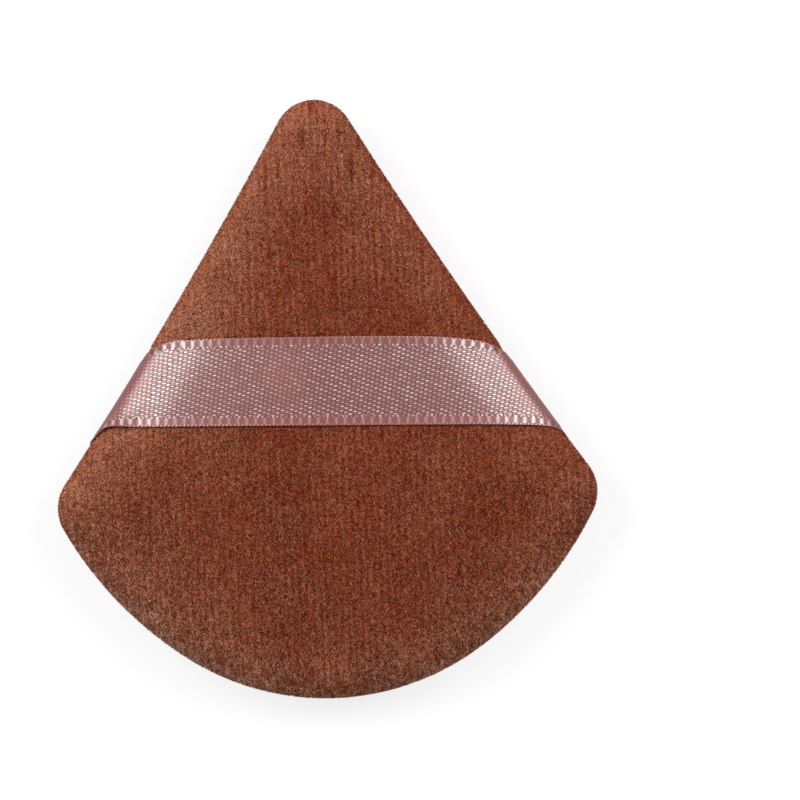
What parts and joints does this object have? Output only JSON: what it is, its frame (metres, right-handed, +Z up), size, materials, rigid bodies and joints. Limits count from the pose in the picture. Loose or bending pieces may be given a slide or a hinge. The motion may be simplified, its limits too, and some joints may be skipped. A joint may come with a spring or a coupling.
{
  "type": "powder puff",
  "caption": "Flat rounded-triangle velour powder puff with a foam core and a satin ribbon strap across its front for the fingers.",
  "frame": {"origin": "on the resting plane, below the middle of the puff's length and width", "axes": "+Z up out of the strap face, +Y towards the apex, +X to the right seen from above"},
  "size_m": [0.0726, 0.0804, 0.012],
  "materials": {
    "front_velour": "short cut pile velour, reddish brown",
    "back_velour": "short cut pile velour, brown, pile lying the other way",
    "foam": "open-cell sponge",
    "thread": "spun sewing thread",
    "ribbon": "satin weave with ribbed selvedges"
  },
  "bodies": {
    "root": {"front_cover": "front_velour", "back_cover": "back_velour", "foam_core": "foam", "seam_needle_thread": "thread", "seam_bobbin_thread": "thread", "closing_thread": "thread", "strap_left_side": "ribbon", "strap_right_side": "ribbon", "strap_left_tail": "ribbon", "strap_right_tail": "ribbon"},
    "strap": {"strap_middle": "ribbon"}
  },
  "joints": [
    {"name": "strap_lift", "type": "slide", "parent": "root", "child": "strap", "axis": [0, 0, 1], "range_m": [0, 0.008], "deforming": ["strap_left_side", "strap_right_side"]}
  ]
}
